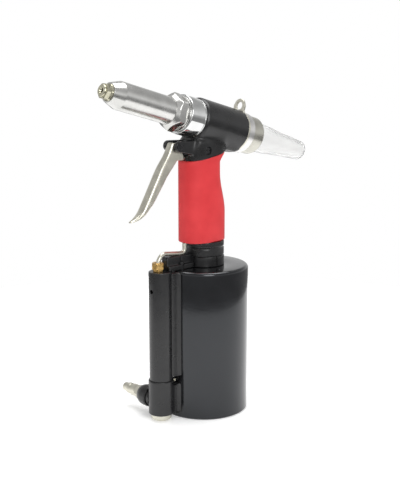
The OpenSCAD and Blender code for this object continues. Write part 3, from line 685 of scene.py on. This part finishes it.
class BuildGrip(bpy.types.Operator):
    """Rubber sleeve of the grip, with its waist for the web of the hand"""
    bl_idname = "rivet_gun.grip"
    bl_label = "Grip sleeve"

    def execute(self, context):
        handle = context.scene.rivet_handle
        low, high, wall = mm(handle, "grip_low"), mm(handle, "grip_high"), mm(handle, "sleeve_wall")
        half_depth, half_width = mm(handle, "grip_depth") / 2, mm(handle, "grip_width") / 2
        count, edge = 144, 0.9
        angle = np.arange(count) * TURN / count

        def section(inset, height):
            back = grip_back(height) - GRIP_BACK + half_depth
            reach = np.where(np.cos(angle) > 0, back, half_depth) - inset
            x = reach * np.sign(np.cos(angle)) * np.abs(np.cos(angle)) ** (2 / GRIP_POWER) + GRIP_CENTRE
            y = (half_width - inset) * np.sign(np.sin(angle)) * np.abs(np.sin(angle)) ** (2 / GRIP_POWER)
            lift = np.clip((height - low) / (high - low), 0, 1) ** 3
            return np.stack([x, y, height + grip_lean(x) * lift], 1)

        rows = [(edge - edge * math.cos(t), low + edge - edge * math.sin(t))
                for t in (1.57, 1.18, 0.79, 0.39)]
        rows += [(0, low + edge + (high - low - 2 * edge) * k / 90) for k in range(91)]
        rows += [(edge - edge * math.cos(t), high - edge + edge * math.sin(t))
                 for t in (0.39, 0.79, 1.18, 1.57)]
        rows += [(wall - edge + edge * math.sin(t), high - edge + edge * math.cos(t))
                 for t in (0.39, 0.79, 1.18, 1.57)]
        rows += [(wall, high - edge - (high - low - 2 * edge) * k / 60) for k in range(1, 60)]
        rows += [(wall - edge + edge * math.cos(t), low + edge - edge * math.sin(t))
                 for t in (0.0, 0.39, 0.79, 1.18, 1.57)]
        spots = np.concatenate([section(inset, height) for inset, height in rows])
        faces = []
        for i in range(len(rows)):
            a, b = i * count, (i + 1) % len(rows) * count
            faces += [(a + k, a + (k + 1) % count, b + (k + 1) % count, b + k) for k in range(count)]
        piece("rubber_sleeve", [(spots, faces)], "red_rubber", stands_for=["grip_sleeve"], sharp=60)
        return {"FINISHED"}


class BuildLever(bpy.types.Operator):
    """Bent sheet lever with its pin"""
    bl_idname = "rivet_gun.lever"
    bl_label = "Lever"

    def execute(self, context):
        lever = context.scene.rivet_lever
        half, sheet = mm(lever, "width") / 2, mm(lever, "sheet")
        px, pz = mm(lever, "pivot_x"), mm(lever, "pivot_z")
        front = [(-5.2, 3.4), (-10.5, -7), (-18.5, -18), (-25, -29), (-30.5, -38.5), (-36, -48),
                 (-41.5, -56.5), (-47.5, -61.5), (-52.6, -63.9)]
        rear = [(-52.6, -65.4), (-45.6, -63.4), (-38.6, -59.3), (-33.5, -54.4), (-28, -48.5),
                (-18.3, -35.2), (-12.3, -26.6), (-5, -18.6), (0, -13)]
        heel = [(8.2, -13), (8.2, -9.5), (4.4, 1.5), (1.5, 3.4)]
        front_side = [(60, 40), (-5.2, 40)] + spline(front).tolist() + [(-53.4, -65.0), (60, -64.0)]
        rear_side = [(-90, 3.4)] + [(-90, -66)] + [(-54, -66)] + spline(rear).tolist() + heel

        def bent(x, y, z):
            u, v = x - px, z - pz
            width = half - 1.1 * np.clip((v + 25) / 30, 0, 1)
            width = width * np.sqrt(np.clip(1 - np.clip((-50 - v) / 18.5, 0, 1) ** 2.4, 0.02, 1))
            face = outline_distance(u, v, front_side)
            rear_face = outline_distance(u, v, rear_side)
            shell = round_edge(face, np.abs(y) - width, 3.2)
            pocket = round_edge(face + sheet, np.abs(y) - width + sheet, 1.4)
            shell = blend_max(shell, -pocket, 0.35)
            shell = blend_max(shell, rear_face, 0.7)
            foot = round_edge(bar_2d(u - 7.4, v + 11.2, 1.6, 3.5, 0.3), np.abs(y) - half + sheet * 0.8, 0.2)
            shell = blend_min(shell, foot, 0.6)
            return blend_max(shell, -(np.hypot(u, v) - 2.05), 0.3)

        mesh = shaped(bent, (px - 54, -half - 1, pz - 67), (px + 9.5, half + 1, pz + 6), 0.4)
        piece("bent_lever", [mesh], "plated_steel", body="lever", stands_for=["lever"], sharp=50)
        pin = turned([(0, -10.7), (2, -10.7, 0.35), (2, -10.4), (1.5, -10.4), (1.5, -9.7), (2, -9.7),
                      (2, 9.7), (1.5, 9.7), (1.5, 10.4), (2, 10.4), (2, 10.7, 0.35), (0, 10.7)], count=64)
        piece("lever_pin_turned", [pin], "black_oxide", stands_for=["lever_pin"],
              place=Matrix.Translation((px, 0, pz)) @ Y_AXIS)
        return {"FINISHED"}


class BuildRear(bpy.types.Operator):
    """Hanger plate, rear ring, rear cap and collector bottle"""
    bl_idname = "rivet_gun.rear"
    bl_label = "Rear of the head"

    def execute(self, context):
        head = context.scene.rivet_head
        start, eye = mm(head, "head_end"), 24.7
        bore_r = mm(head, "head_bore")

        def plate(x, y, z):
            flat = np.hypot(x, y) - 19.95
            loop = np.hypot(x + eye, y) - 6.8
            neck = bar_2d(x + 18, y, 14, 13.6, 0.2)
            flat = blend_min(blend_min(flat, neck, 3.0), loop, 2.0)
            flat = np.maximum(flat, -(np.hypot(x, y) - bore_r))
            flat = np.maximum(flat, -(np.hypot(x + eye, y) - 3.8))
            return round_edge(flat, slab(z, 0, 2.05), 0.35)

        mesh = shaped(plate, (-eye - 8, -21, -0.6), (21, 21, 2.65), 0.33)
        piece("hanger_plate", [mesh], "plated_steel", stands_for=["hanger"], place=barrel_matrix(start))
        ring_s, cap_s, cap_end = start + 2.1, 51.2, 65.5
        ring = turned([(14, 37.1), (17.1, 37.1, 0.3), (17.1, ring_s), (19.45, ring_s + 0.02, 0.5),
                       (19.45, cap_s - 0.5, 0.6), (12.5, cap_s - 0.5), (12.5, cap_s + 4, 0.3),
                       (6.3, cap_s + 4), (6.3, 48.4), (14, 48.4)])
        piece("turned_rear_ring", [ring], "satin_aluminium", stands_for=["rear_ring"],
              place=barrel_matrix())
        cap = turned([(12.6, cap_s), (18.2, cap_s, 0.6), (18.2, cap_end - 1.7, 0.8), (17.2, cap_end, 0.5),
                      (14.65, cap_end, 0.3), (14.65, cap_s + 5.45), (9, cap_s + 5.45), (9, cap_s + 4.1),
                      (12.6, cap_s + 4.1)])
        piece("turned_rear_cap", [cap], "nickel", stands_for=["rear_cap"], place=barrel_matrix())
        last = mm(head, "bottle_end")
        outer = [(14.3, cap_s + 5.8), (14.3, cap_end + 0.2), (15.1, cap_end + 0.3, 0.3),
                 (15.1, cap_end + 1.4, 0.4), (14.4, 71), (13.3, 88.7, 20), (11.7, 104, 20), (10.8, 120, 20),
                 (9.8, last - 4), (9.5, last, 3.0), (0, last)]
        inner = [(0, last - 1.8), (7.6, last - 1.8, 1.6), (8.2, last - 6), (9.2, 120, 10),
                 (10.1, 104, 10), (11.7, 88.7, 10), (12.7, 71), (12.7, cap_s + 5.8)]
        bottle = turned(outer + inner)
        piece("frosted_bottle", [bottle], "clear_plastic", body="collector",
              stands_for=["collector_bottle"], place=barrel_matrix(), sharp=50)
        return {"FINISHED"}


class BuildScrews(bpy.types.Operator):
    """Oil screw, socket screws of the bracket and the screw of the valve block"""
    bl_idname = "rivet_gun.screws"
    bl_label = "Screws"

    def execute(self, context):
        def slotted(x, y, z):
            top = round_edge(np.hypot(x, y) - 3.4, slab(z, 0, 2), 0.4)
            stem = np.maximum(np.hypot(x, y) - 2, slab(z, -3.4, 0.5))
            slot = np.maximum(np.abs(y) - 0.4, 1.1 - z)
            return blend_max(np.minimum(top, stem), -slot, 0.15)

        mesh = shaped(slotted, (-3.8, -3.8, -3.7), (3.8, 3.8, 2.4), 0.16)
        piece("oil_filler_screw", [mesh], "black_oxide", stands_for=["oil_screw"],
              place=Matrix.Translation((-9, -13.2, 254)) @ MINUS_Y)

        def socket(radius, head_low, head_high, stem, stem_low, key):
            def six(angle, r, height):
                inside = (height > head_high - 1.35) & (r > key * 0.45) & (r < key * 0.62)
                return np.where(inside, hexagon(angle, key), r)
            return turned([(0, stem_low), (stem, stem_low, 0.2), (stem, head_low), (radius, head_low, 0.15),
                           (radius, head_high, 0.35), (key * 0.64, head_high, 0.1),
                           (key / 2 + 0.1, head_high - 0.2), (key / 2 + 0.1, head_high - 1.3),
                           (0, head_high - 1.45)], six, 72)

        screws = []
        for y in (-5, 5):
            spots, faces = socket(2.4, 10.6, 12.6, 1.58, 0, 2.3)
            screws.append((spots + np.array((-33, y, 138.0)), faces))
        piece("bracket_socket_screws", screws, "black_oxide", stands_for=["bracket_screws"])
        piece("block_socket_screw", [socket(1.5, 0.0, 3.05, 1.4, -0.001, 1.6)], "plated_steel",
              stands_for=["block_screw"], place=Matrix.Translation((-43.95, -3.42, 37.6)) @ MINUS_Y)
        return {"FINISHED"}


class BuildTank(bpy.types.Operator):
    """Air tank and the slotted nut that clamps the handle to it"""
    bl_idname = "rivet_gun.tank"
    bl_label = "Tank and neck nut"

    def execute(self, context):
        tank, handle = context.scene.rivet_tank, context.scene.rivet_handle
        r, h, wall, edge = mm(tank, "radius"), mm(tank, "height"), mm(tank, "wall"), mm(tank, "edge")
        shell = turned([(r - wall, 0.02), (r - 1.0, 0.02, 0.4), (r - 0.02, 1.0, 0.5), (r - 0.02, h, edge),
                        (18.15, h, 0.4), (18.15, h - 6), (r - wall, h - 6, 1.5)], count=192)
        piece("gloss_tank", [shell], "tank_black", stands_for=["air_tank"])
        neck_r, low, tall = mm(handle, "neck_radius"), mm(handle, "nut_low"), mm(handle, "nut_height")
        slots = 6

        def slotted(angle, radius, height):
            off = (angle - math.radians(20)) % (TURN / slots)
            near = np.minimum(off, TURN / slots - off) < math.radians(8.6)
            return np.where(near & (height > low + 1.2) & (radius > neck_r - 1.2),
                            np.minimum(radius, neck_r - 1.0), radius)

        nut = turned([(18.15, low), (neck_r, low, 0.5), (neck_r, low + 1.19), (neck_r, low + 1.21),
                      (neck_r, low + tall - 0.7), (neck_r - 0.7, low + tall), (18.15, low + tall)],
                     slotted, 360)
        piece("slotted_neck_nut", [nut], "black_casting", stands_for=["neck_nut"])
        return {"FINISHED"}


class BuildValve(bpy.types.Operator):
    """Valve tube, valve block and the bracket that ties them to the neck"""
    bl_idname = "rivet_gun.valve"
    bl_label = "Valve"

    def execute(self, context):
        valve, tank = context.scene.rivet_valve, context.scene.rivet_tank
        cx, r, top, joint = (mm(valve, "centre_x"), mm(valve, "radius"), mm(valve, "top"),
                             mm(valve, "joint"))
        floor_z = mm(valve, "block_low")
        block_r, inlet, tank_r = mm(valve, "block_radius"), mm(valve, "inlet_height"), mm(tank, "radius")
        tube = turned([(8.5, 30.2), (10.4, 30.2, 0.3), (10.4, joint + 0.25), (r, joint + 0.25, 0.5),
                       (r, top, 0.9), (0, top), (0, top - 6), (8.5, top - 6)])
        made = piece("valve_sleeve", [tube], "valve_black", stands_for=["valve_tube"],
                     place=Matrix.Translation((cx, 0, 0)))
        bore(made, Matrix.Translation((cx - r - 0.5, 0, 126.4)) @ Matrix.Rotation(math.pi / 2, 4, "Y"),
             2.1, 4.5)
        bore(made, Matrix.Translation((-58, 0, top + 0.5)) @ Matrix.Rotation(math.pi, 4, "X"), 3.5, 7)

        def block(x, y, z):
            away = np.hypot(x - cx, y)
            body = round_edge(away - block_r, slab(z, floor_z, joint), 0.9)
            foot = round_edge(bar_2d(x + 48, y, 18, 16, 1.5), slab(z, floor_z + 1, 38.5), 1.0)
            heel = round_edge(bar_2d(x + 48, y, 18, 21, 1.5), slab(z, floor_z + 1, 34.2), 1.0)
            tank_side = round_edge(np.hypot(x, y) - tank_r, slab(z, floor_z + 1, 34.2), 1.0)
            heel = blend_min(heel, tank_side, 4.0)
            foot = np.minimum(foot, np.maximum(heel, np.maximum(np.abs(y) - 16.5, x + 38)))
            boss = np.maximum(np.hypot(x - cx, z - inlet) - 8.4, slab(y, 0, 14))
            body = blend_min(blend_min(body, foot, 1.5), boss, 2.5)
            cut = np.minimum(tank_r + 0.05 - np.hypot(x, y), 99)
            body = np.maximum(body, cut)
            hole = np.minimum(np.maximum(away - 10.45, 30 - z), away - 7.5)
            hole = np.minimum(hole, np.maximum(np.hypot(x - cx, z - inlet) - 5.6, -y))
            hole = np.minimum(hole, np.maximum(np.hypot(y, z - 14) - 2.6, cx - x))
            pocket = np.maximum(np.maximum(np.abs(x + 42.4) - 4, np.abs(y + 8.4) - 5), 35 - z)
            return blend_max(blend_max(body, -hole, 0.3), -pocket, 0.4)

        mesh = shaped(block, (cx - 13, -17, floor_z - 0.8), (-37.2, 17, joint + 0.8), 0.5)
        piece("valve_block_cast", [mesh], "valve_black", stands_for=["valve_block"], sharp=40)

        def bracket(x, y, z):
            arm = round_edge(bar_2d(x + 34, y, 32, 13, 2.0), slab(z, 143.55, 148.5), 0.7)
            rib = round_edge(bar_2d(x + 34.25, z - 150.65, 32.5, 12.1, 3.0), np.abs(y) - 4, 1.2)
            web = round_edge(bar_2d(x + 46.7, y, 6.5, 13, 0.5), slab(z, 118, 148.5), 0.6)
            down = bar_2d(x + 45.5, y, 10, 21, 1.2)
            down = blend_min(down, np.hypot(x, y) - tank_r, 4.0)
            down = round_edge(down, slab(z, joint + 2.1, 143.0), 2.0)
            down = np.maximum(down, np.abs(y) - 16.5)
            body = blend_min(blend_min(blend_min(arm, rib, 1.2), web, 0.8), down, 0.8)
            body = np.maximum(body, np.minimum(tank_r + 0.05 - np.hypot(x, y), 143.5 - z))
            body = np.maximum(body, np.minimum(r + 0.05 - np.hypot(x - cx, y), top + 0.1 - z))
            body = np.maximum(body, 19.5 - np.hypot(x, y))
            holes = np.minimum(np.hypot(y, z - 160) - 2.8, np.hypot(x + 33, np.abs(y) - 5) - 1.65)
            return blend_max(body, -holes, 0.3)

        mesh = shaped(bracket, (-51.2, -17.2, 40.8), (-17.5, 17.2, 157.4), 0.4)
        piece("valve_tie_bracket", [mesh], "black_casting", stands_for=["valve_bracket"], sharp=40)
        plug = turned([(0, 1.6), (3.4, 1.4), (3.6, 0.8, 0.1), (8.9, 0.8, 0.6), (9.75, 1.9, 0.5),
                       (9.75, floor_z - 0.05), (7.4, floor_z - 0.05), (7.4, 11.4), (5, 11.4), (5, 10),
                       (0, 10)])
        piece("valve_bottom_plug", [plug], "plated_steel", stands_for=["valve_plug"],
              place=Matrix.Translation((cx, 0, 0)))
        return {"FINISHED"}


class BuildInlet(bpy.types.Operator):
    """Domed bushing and the swivelling air plug"""
    bl_idname = "rivet_gun.inlet"
    bl_label = "Air inlet"

    def execute(self, context):
        valve = context.scene.rivet_valve
        place = Matrix.Translation((mm(valve, "centre_x"), 0, mm(valve, "inlet_height"))) @ Y_AXIS
        bushing = turned([(5.05, 10), (5.5, 10), (5.5, 14.1), (9.4, 14.1, 0.3), (10.25, 15.3, 0.6),
                          (10.25, 21, 4), (9.7, 24, 4), (8.5, 26.8, 3), (6.9, 28.55, 0.8), (5.05, 28.55)])
        piece("inlet_dome", [bushing], "valve_black", stands_for=["inlet_bushing"], place=place, sharp=50)
        corner = 12 / math.sqrt(3)

        def six(angle, radius, height):
            on_hex = (height > 28.95) & (height < 33.45) & (radius > 5.2)
            return np.where(on_hex, np.minimum(radius, hexagon(angle, 12.0)), radius)

        plug = turned(
            [(2.6, 9), (5, 9, 0.2), (5, 28.94)] + chamfered(28.96, 33.4, corner, 0.8)
            + [(5.9, 33.46), (5.9, 41, 0.3), (4.5, 42.2, 0.4), (4.5, 44.2, 0.4), (5.3, 45.2, 0.3),
               (5.3, 48, 0.5), (4.2, 49, 0.4), (4.2, 54, 0.6), (2.6, 54, 0.2)], six, 96)
        piece("air_plug_turned", [plug], "plated_steel", body="air_plug", stands_for=["air_plug"],
              place=place)
        return {"FINISHED"}


class BuildPipe(bpy.types.Operator):
    """Pilot pipe with its brass nut and fitting"""
    bl_idname = "rivet_gun.pipe"
    bl_label = "Pilot pipe"

    def execute(self, context):
        valve = context.scene.rivet_valve
        radius, bend, top = mm(valve, "pipe_radius"), mm(valve, "pipe_bend"), mm(valve, "top")
        x0, x1, level, small = -58.0, -25.0, 160.0, 4.0
        path = [(x0, 0, top - 3 + k) for k in np.linspace(0, level - bend - top + 3, 8)]
        path += [(x0 + bend - bend * math.cos(t), 0, level - bend + bend * math.sin(t))
                 for t in np.linspace(0, math.pi / 2, 14)[1:]]
        path += [(x, 0, level) for x in np.linspace(x0 + bend, x1 - small, 8)[1:]]
        path += [(x1 - small + small * math.sin(t), 0, level + small - small * math.cos(t))
                 for t in np.linspace(0, math.pi / 2, 10)[1:]]
        path += [(x1, 0, z) for z in np.linspace(level + small, level + small + 2.9, 4)[1:]]
        droop = [2.2 * min(1.0, max(0.0, (x + 50) / 18)) if z < level + small + 0.5 else 0.0
                 for x, _, z in path]
        path = [(x, y, z - (d if x > -50 else 0)) for (x, y, z), d in zip(path, droop)]
        piece("pilot_pipe", [piped(path, radius - 0.02, 28)], "plated_steel", stands_for=["pilot_tube"],
              sharp=60)
        corner = 10.6 / math.sqrt(3)
        low, high = top + 2.2, top + 8.6

        def six(angle, r, height):
            return np.where(r > 4.9, np.minimum(r, hexagon(angle, 10.6, 0.3)), r)

        nut = turned([(2.55, low + 3.8), (3.5, low + 3.8), (3.5, low)] + chamfered(low, high, corner, 1.0)
                     + [(3.6, high, 0.2), (2.55, high - 0.6, 0.1)], six, 96)
        piece("brass_hex_nut", [nut], "brass", stands_for=["brass_nut"],
              place=Matrix.Translation((x0, 0, 0)))
        fitting = turned([(2.22, top - 3), (3.45, top - 3), (3.45, top + 0.05), (4.8, top + 0.05, 0.3),
                          (4.8, top + 2.1, 0.3), (3.45, top + 2.1), (3.45, top + 5.8), (2.22, top + 5.8)])
        piece("brass_collar_fitting", [fitting], "brass", stands_for=["brass_fitting"],
              place=Matrix.Translation((x0, 0, 0)))
        return {"FINISHED"}


class FinishInside(bpy.types.Operator):
    """Gives every carried-over part its finish"""
    bl_idname = "rivet_gun.inside"
    bl_label = "Finishes of the inner parts"

    def execute(self, context):
        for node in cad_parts.values():
            for slot in node.material_slots:
                name = slot.material.name.replace("_packed", "")
                if name not in FINISHES:
                    raise RuntimeError(f"no finish for {name}")
                slot.material = finish_of(name)
        return {"FINISHED"}


# ---------- stage ----------

PAPER_GLOW = 0.30       # light the floor gives off itself, which softens its shadows


class BuildStage(bpy.types.Operator):
    """Pale floor, white surroundings, softboxes and the camera"""
    bl_idname = "rivet_gun.stage"
    bl_label = "Stage"

    def surroundings(self, stage):
        """White behind the tool; the metal mirrors a bright horizon, darker above and below."""
        world = bpy.data.worlds.new("studio")
        world.use_nodes = True
        tree = world.node_tree
        white = tree.nodes["Background"]
        white.inputs["Color"].default_value = (1.0, 1.0, 1.0, 1.0)
        room = tree.nodes.new("ShaderNodeBackground")
        room.inputs["Strength"].default_value = stage.sky
        coords = tree.nodes.new("ShaderNodeTexCoord").outputs["Generated"]
        split = tree.nodes.new("ShaderNodeSeparateXYZ")
        tree.links.new(coords, split.inputs["Vector"])
        level = tree.nodes.new("ShaderNodeMapRange")
        level.inputs["From Min"].default_value, level.inputs["From Max"].default_value = -1.0, 1.0
        tree.links.new(split.outputs["Z"], level.inputs["Value"])
        tones = tree.nodes.new("ShaderNodeValToRGB")
        stops = ((0.0, 0.30), (0.40, 0.30), (0.49, 0.62), (0.53, 1.0), (0.60, 0.95), (0.68, 0.7),
                 (0.76, 0.5), (0.88, 0.6), (1.0, 0.55))
        band = tones.color_ramp.elements
        band[0].position, band[0].color = stops[0][0], (stops[0][1],) * 3 + (1,)
        band[1].position, band[1].color = stops[-1][0], (stops[-1][1],) * 3 + (1,)
        for place, grey in stops[1:-1]:
            band.new(place).color = (grey, grey, grey, 1)
        tree.links.new(level.outputs["Result"], tones.inputs["Fac"])
        tree.links.new(tones.outputs["Color"], room.inputs["Color"])
        rays = tree.nodes.new("ShaderNodeLightPath")
        seen = tree.nodes.new("ShaderNodeMath")
        seen.operation = "MAXIMUM"
        tree.links.new(rays.outputs["Is Camera Ray"], seen.inputs[0])
        tree.links.new(rays.outputs["Is Transmission Ray"], seen.inputs[1])
        mix = tree.nodes.new("ShaderNodeMixShader")
        tree.links.new(seen.outputs[0], mix.inputs["Fac"])
        tree.links.new(room.outputs[0], mix.inputs[1])
        tree.links.new(white.outputs[0], mix.inputs[2])
        tree.links.new(mix.outputs[0], tree.nodes["World Output"].inputs["Surface"])
        return world

    def execute(self, context):
        scene, stage = context.scene, context.scene.rivet_stage
        mesh = bpy.data.meshes.new("floor")
        work = bmesh.new()
        bmesh.ops.create_circle(work, cap_ends=True, segments=128, radius=stage.floor_radius)
        bmesh.ops.translate(work, verts=work.verts, vec=(0, 0, -0.0002))
        work.to_mesh(mesh)
        work.free()
        floor = bpy.data.objects.new("floor", mesh)
        scene.collection.objects.link(floor)
        material = bpy.data.materials.new("floor_paper")
        material.use_nodes = True
        tree = material.node_tree
        shader = tree.nodes["Principled BSDF"]
        coords = tree.nodes.new("ShaderNodeTexCoord").outputs["Object"]
        fibre = noise(tree, coords, 40.0, 4.0)
        pale = tuple(stage.floor_colour)
        tree.links.new(ramp(tree, fibre, tuple(c * 0.985 for c in pale), pale), shader.inputs["Base Color"])
        shader.inputs["Roughness"].default_value = 0.9
        shader.inputs["Specular IOR Level"].default_value = 0.1
        shader.inputs["Emission Color"].default_value = (1.0, 1.0, 1.0, 1.0)
        shader.inputs["Emission Strength"].default_value = PAPER_GLOW
        mesh.materials.append(material)
        scene.world = self.surroundings(stage)

        def softbox(name, place, aim, width, height, power):
            light = bpy.data.lights.new(name, "AREA")
            light.shape, light.size, light.size_y = "RECTANGLE", width, height
            light.energy = power
            lamp = bpy.data.objects.new(name, light)
            lamp.location = place
            lamp.rotation_mode = "QUATERNION"
            lamp.rotation_quaternion = (Vector(aim) - Vector(place)).to_track_quat("-Z", "Y")
            scene.collection.objects.link(lamp)

        softbox("front_softbox", (-0.75, -1.35, 0.95), (0, 0, 0.2), 0.7, 0.9, stage.key_power)
        softbox("top_softbox", (0.15, 0.1, 1.5), (0, 0, 0.0), 1.3, 0.9, stage.key_power * 1.9)

        camera = bpy.data.cameras.new("camera")
        camera.lens, camera.sensor_width, camera.sensor_fit = stage.lens, 36.0, "HORIZONTAL"
        camera.clip_start, camera.clip_end = 0.05, 50
        eye = bpy.data.objects.new("camera", camera)
        azimuth, elevation = math.radians(-42.9), math.radians(12.02)
        back = Vector((math.sin(azimuth) * math.cos(elevation), -math.cos(azimuth) * math.cos(elevation),
                       math.sin(elevation)))
        eye.location = (-0.6311, -0.6736, 0.3531)
        eye.rotation_mode = "QUATERNION"
        eye.rotation_quaternion = (-back).to_track_quat("-Z", "Y")
        scene.collection.objects.link(eye)
        scene.camera = eye
        scene.view_settings.view_transform = "Standard"
        scene.view_settings.look = "None"
        return {"FINISHED"}


# ---------- panel and run ----------

GROUPS = {"rivet_head": HeadSizes, "rivet_handle": HandleSizes, "rivet_lever": LeverSizes,
          "rivet_tank": TankSizes, "rivet_valve": ValveSizes, "rivet_stage": StageSettings}
STEPS = (BuildNose, BuildCasting, BuildGrip, BuildLever, BuildRear, BuildScrews, BuildTank, BuildValve,
         BuildInlet, BuildPipe, FinishInside, BuildStage)


class RivetGunPanel(bpy.types.Panel):
    """Lists the steps that build the rivet gun"""
    bl_idname = "VIEW3D_PT_rivet_gun"
    bl_label = "Rivet gun"
    bl_space_type = "VIEW_3D"
    bl_region_type = "UI"
    bl_category = "Rivet gun"

    def draw(self, context):
        for step in STEPS:
            self.layout.operator(step.bl_idname)
        for name in GROUPS:
            box = self.layout.box()
            group = getattr(context.scene, name)
            for field in group.__annotations__:
                box.prop(group, field)


def register():
    for made in (*GROUPS.values(), *STEPS, RivetGunPanel):
        bpy.utils.register_class(made)
    for name, group in GROUPS.items():
        setattr(bpy.types.Scene, name, bpy.props.PointerProperty(type=group))


def unregister():
    for name in GROUPS:
        delattr(bpy.types.Scene, name)
    for made in reversed((*GROUPS.values(), *STEPS, RivetGunPanel)):
        bpy.utils.unregister_class(made)


def main():
    register()
    for step in STEPS:
        group, name = step.bl_idname.split(".")
        getattr(getattr(bpy.ops, group), name)()


if __name__ == "__main__":
    main()
